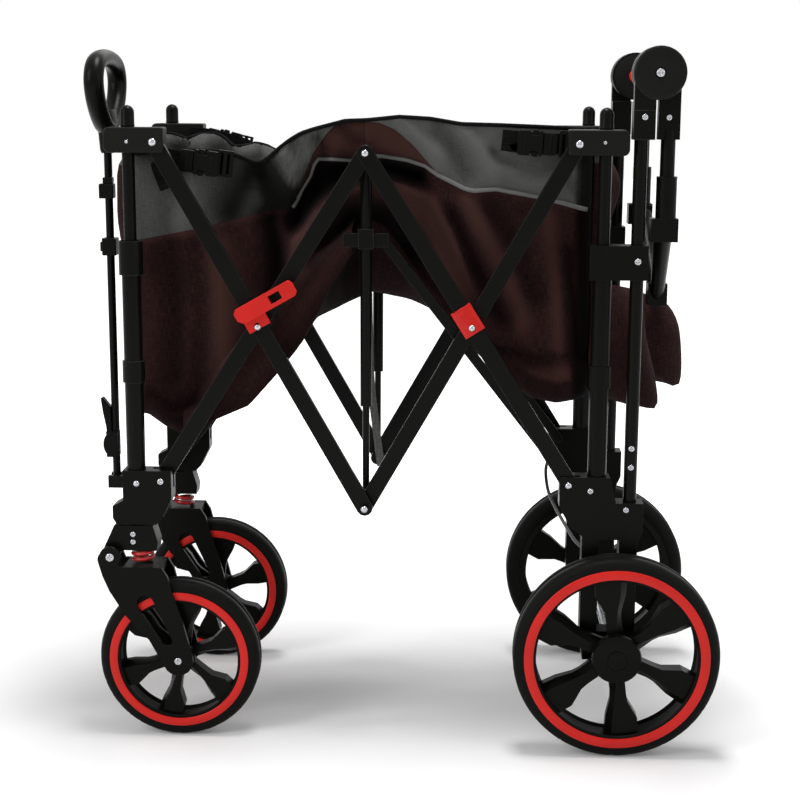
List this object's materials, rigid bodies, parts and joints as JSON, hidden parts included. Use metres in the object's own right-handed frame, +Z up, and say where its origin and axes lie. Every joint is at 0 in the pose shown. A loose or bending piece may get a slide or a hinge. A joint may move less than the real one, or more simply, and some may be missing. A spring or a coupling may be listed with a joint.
{
  "type": "folding wagon",
  "caption": "Hand-pulled folding wagon, half folded: scissor side frames on telescoping posts, fabric tub, sprung front casters, fixed rear wheels, pull handle and folding push handle.",
  "frame": {"origin": "centre of the bounding box on the floor", "axes": "+X to the push handle at the rear, +Y to the far side, +Z up"},
  "size_m": [0.771, 0.402, 0.835],
  "materials": {
    "black_plastic": "fine-grained satin",
    "black_steel": "satin powder coat",
    "bare_steel": "zinc plated",
    "red_plastic": "satin gloss",
    "red_steel": "gloss paint",
    "tyre_rubber": "matte foam rubber",
    "fabric": "melange polyester, burgundy with a grey band",
    "cable_jacket": "smooth jacket"
  },
  "bodies": {
    "rear_base": {"rear_lower_bracket_near": "black_plastic", "rear_lower_bracket_far": "black_plastic", "rear_post_sleeve_near": "black_plastic", "rear_post_sleeve_far": "black_plastic", "push_post_near": "black_steel", "push_post_far": "black_steel", "rear_axle": "bare_steel", "brake_cable": "cable_jacket"},
    "rear_wheel_near": {"rear_tyre_near": "tyre_rubber", "rear_rim_near": "black_plastic"},
    "rear_wheel_far": {"rear_tyre_far": "tyre_rubber", "rear_rim_far": "black_plastic"},
    "push_handle": {"push_arm_near": "black_plastic", "push_arm_far": "black_plastic", "push_grip": "black_plastic"},
    "button_near": {"push_button_near": "red_plastic"},
    "button_far": {"push_button_far": "red_plastic"},
    "rear_short_bars": {"rear_short_bar_near": "black_steel", "rear_short_bar_far": "black_steel"},
    "rear_long_bars": {"rear_long_bar_near": "black_steel", "rear_long_bar_far": "black_steel"},
    "rear_top": {"rear_top_bracket_near": "black_plastic", "rear_top_bracket_far": "black_plastic", "rear_post_rod_near": "black_steel", "rear_post_rod_far": "black_steel"},
    "tub_rear_half": {"tub_rear": "fabric"},
    "front_long_bars": {"front_long_bar_near": "black_steel", "front_long_bar_far": "black_steel"},
    "front_short_bars": {"front_short_bar_near": "black_steel", "front_short_bar_far": "black_steel"},
    "front_top": {"front_top_bracket_near": "black_plastic", "front_top_bracket_far": "black_plastic", "front_post_rod_near": "black_steel", "front_post_rod_far": "black_steel"},
    "tub_front_half": {"tub_front": "fabric"},
    "front_base": {"front_lower_bracket_near": "black_plastic", "front_lower_bracket_far": "black_plastic", "front_post_sleeve_near": "black_steel", "front_post_sleeve_far": "black_steel", "front_cross_tube": "black_steel"},
    "centre_upper": {"centre_post_upper_near": "black_steel", "centre_post_upper_far": "black_steel"},
    "centre_lower": {"centre_post_lower_near": "black_steel", "centre_post_lower_far": "black_steel"},
    "rear_struts": {"rear_floor_strut_near": "black_steel", "rear_floor_strut_far": "black_steel"},
    "front_struts": {"front_floor_strut_near": "black_steel", "front_floor_strut_far": "black_steel"},
    "pull_handle": {"pull_handle": "black_plastic"},
    "latch": {"frame_latch": "red_plastic"},
    "caster_near": {"caster_head_near": "black_plastic", "caster_spring_near": "red_steel"},
    "fork_near": {"caster_fork_near": "black_plastic"},
    "front_wheel_near": {"front_tyre_near": "tyre_rubber", "front_rim_near": "black_plastic"},
    "caster_far": {"caster_head_far": "black_plastic", "caster_spring_far": "red_steel"},
    "fork_far": {"caster_fork_far": "black_plastic"},
    "front_wheel_far": {"front_tyre_far": "tyre_rubber", "front_rim_far": "black_plastic"}
  },
  "joints": [
    {"name": "fold", "type": "hinge", "parent": "rear_base", "child": "rear_short_bars", "pos_m": [0.206, 0, 0.322], "axis": [0, -1, 0], "range_deg": [-18.4, 19.6]},
    {"name": "rear_crossing", "type": "hinge", "parent": "rear_short_bars", "child": "rear_long_bars", "pos_m": [0.08585, 0, 0.51277], "axis": [0, 1, 0], "range_deg": [-34.88, 37.15]},
    {"name": "rear_top_pivot", "type": "hinge", "parent": "rear_long_bars", "child": "rear_top", "pos_m": [0.206, 0, 0.724], "axis": [0, -1, 0], "range_deg": [-16.48, 17.55]},
    {"name": "centre_top_pivot", "type": "hinge", "parent": "rear_short_bars", "child": "centre_upper", "pos_m": [-0.04, 0, 0.7126], "axis": [0, 1, 0], "range_deg": [-18.42, 19.62]},
    {"name": "centre_low_pivot", "type": "hinge", "parent": "rear_long_bars", "child": "centre_lower", "pos_m": [-0.04, 0, 0.2915], "axis": [0, -1, 0], "range_deg": [-16.48, 17.55]},
    {"name": "low_middle_pivot", "type": "hinge", "parent": "rear_long_bars", "child": "front_long_bars", "pos_m": [-0.04, 0, 0.2915], "axis": [0, -1, 0], "range_deg": [-32.94, 35.08]},
    {"name": "front_crossing", "type": "hinge", "parent": "front_long_bars", "child": "front_short_bars", "pos_m": [-0.16585, 0, 0.51277], "axis": [0, 1, 0], "range_deg": [-34.88, 37.15]},
    {"name": "front_low_pivot", "type": "hinge", "parent": "front_short_bars", "child": "front_base", "pos_m": [-0.286, 0, 0.322], "axis": [0, -1, 0], "range_deg": [-18.42, 19.62]},
    {"name": "front_top_pivot", "type": "hinge", "parent": "front_long_bars", "child": "front_top", "pos_m": [-0.286, 0, 0.724], "axis": [0, 1, 0], "range_deg": [-16.48, 17.55]},
    {"name": "rear_strut_pivot", "type": "hinge", "parent": "centre_upper", "child": "rear_struts", "pos_m": [-0.0202, 0, 0.6109], "axis": [0, -1, 0], "range_deg": [-22.84, 24.32]},
    {"name": "front_strut_pivot", "type": "hinge", "parent": "centre_upper", "child": "front_struts", "pos_m": [-0.0598, 0, 0.6109], "axis": [0, 1, 0], "range_deg": [-22.84, 24.32]},
    {"name": "tub_rear_stretch", "type": "slide", "parent": "rear_top", "child": "tub_rear_half", "axis": [-1, 0, 0], "range_m": [-0.1247, 0.1328], "deforming": ["tub_rear"]},
    {"name": "tub_front_stretch", "type": "slide", "parent": "front_top", "child": "tub_front_half", "axis": [1, 0, 0], "range_m": [-0.1247, 0.1328], "deforming": ["tub_front"]},
    {"name": "rear_wheel_spin_near", "type": "hinge", "parent": "rear_base", "child": "rear_wheel_near", "pos_m": [0.2626, -0.178, 0.12291], "axis": [0, 1, 0], "continuous": true},
    {"name": "caster_swivel_near", "type": "hinge", "parent": "front_base", "child": "caster_near", "pos_m": [-0.317, -0.141, 0.266], "axis": [0, 0, 1], "continuous": true},
    {"name": "caster_suspension_near", "type": "hinge", "parent": "caster_near", "child": "fork_near", "pos_m": [-0.351, -0.141, 0.2256], "axis": [0, -1, 0], "range_deg": [0, 3], "stiffness_Nm_per_rad": 60, "springref_deg": -4.01, "deforming": ["caster_spring_near"]},
    {"name": "front_wheel_spin_near", "type": "hinge", "parent": "fork_near", "child": "front_wheel_near", "pos_m": [-0.267, -0.141, 0.09852], "axis": [0, 1, 0], "continuous": true},
    {"name": "push_button_near", "type": "slide", "parent": "push_handle", "child": "button_near", "axis": [0, -1, 0], "range_m": [0, 0.004], "stiffness_N_per_m": 400, "springref_m": -0.003},
    {"name": "rear_wheel_spin_far", "type": "hinge", "parent": "rear_base", "child": "rear_wheel_far", "pos_m": [0.2626, 0.178, 0.12291], "axis": [0, 1, 0], "continuous": true},
    {"name": "caster_swivel_far", "type": "hinge", "parent": "front_base", "child": "caster_far", "pos_m": [-0.317, 0.141, 0.266], "axis": [0, 0, 1], "continuous": true},
    {"name": "caster_suspension_far", "type": "hinge", "parent": "caster_far", "child": "fork_far", "pos_m": [-0.351, 0.141, 0.2256], "axis": [0, -1, 0], "range_deg": [0, 3], "stiffness_Nm_per_rad": 60, "springref_deg": -4.01, "deforming": ["caster_spring_far"]},
    {"name": "front_wheel_spin_far", "type": "hinge", "parent": "fork_far", "child": "front_wheel_far", "pos_m": [-0.267, 0.141, 0.09852], "axis": [0, 1, 0], "continuous": true},
    {"name": "push_button_far", "type": "slide", "parent": "push_handle", "child": "button_far", "axis": [0, 1, 0], "range_m": [0, 0.004], "stiffness_N_per_m": 400, "springref_m": -0.003},
    {"name": "push_handle_swing", "type": "hinge", "parent": "rear_base", "child": "push_handle", "pos_m": [0.295, 0, 0.805], "axis": [0, -1, 0], "range_deg": [0, 178]},
    {"name": "pull_handle_swing", "type": "hinge", "parent": "front_base", "child": "pull_handle", "pos_m": [-0.373, 0, 0.285], "axis": [0, -1, 0], "range_deg": [0, 95]},
    {"name": "latch_swing", "type": "hinge", "parent": "front_long_bars", "child": "latch", "pos_m": [-0.16585, 0, 0.51277], "axis": [0, -1, 0], "range_deg": [0, 35]}
  ],
  "couplings": [
    {"joint": "rear_crossing", "follows": "fold", "ratio": 1.8945},
    {"joint": "rear_top_pivot", "follows": "fold", "ratio": 0.89445},
    {"joint": "centre_top_pivot", "follows": "fold", "ratio": 1},
    {"joint": "centre_low_pivot", "follows": "fold", "ratio": 0.89445},
    {"joint": "low_middle_pivot", "follows": "fold", "ratio": 1.7889},
    {"joint": "front_crossing", "follows": "fold", "ratio": 1.8945},
    {"joint": "front_low_pivot", "follows": "fold", "ratio": 1},
    {"joint": "front_top_pivot", "follows": "fold", "ratio": 0.89445},
    {"joint": "rear_strut_pivot", "follows": "fold", "ratio": 1.24},
    {"joint": "front_strut_pivot", "follows": "fold", "ratio": 1.24},
    {"joint": "tub_rear_stretch", "follows": "fold", "m_per_rad": 0.38685},
    {"joint": "tub_front_stretch", "follows": "fold", "m_per_rad": 0.38685}
  ]
}
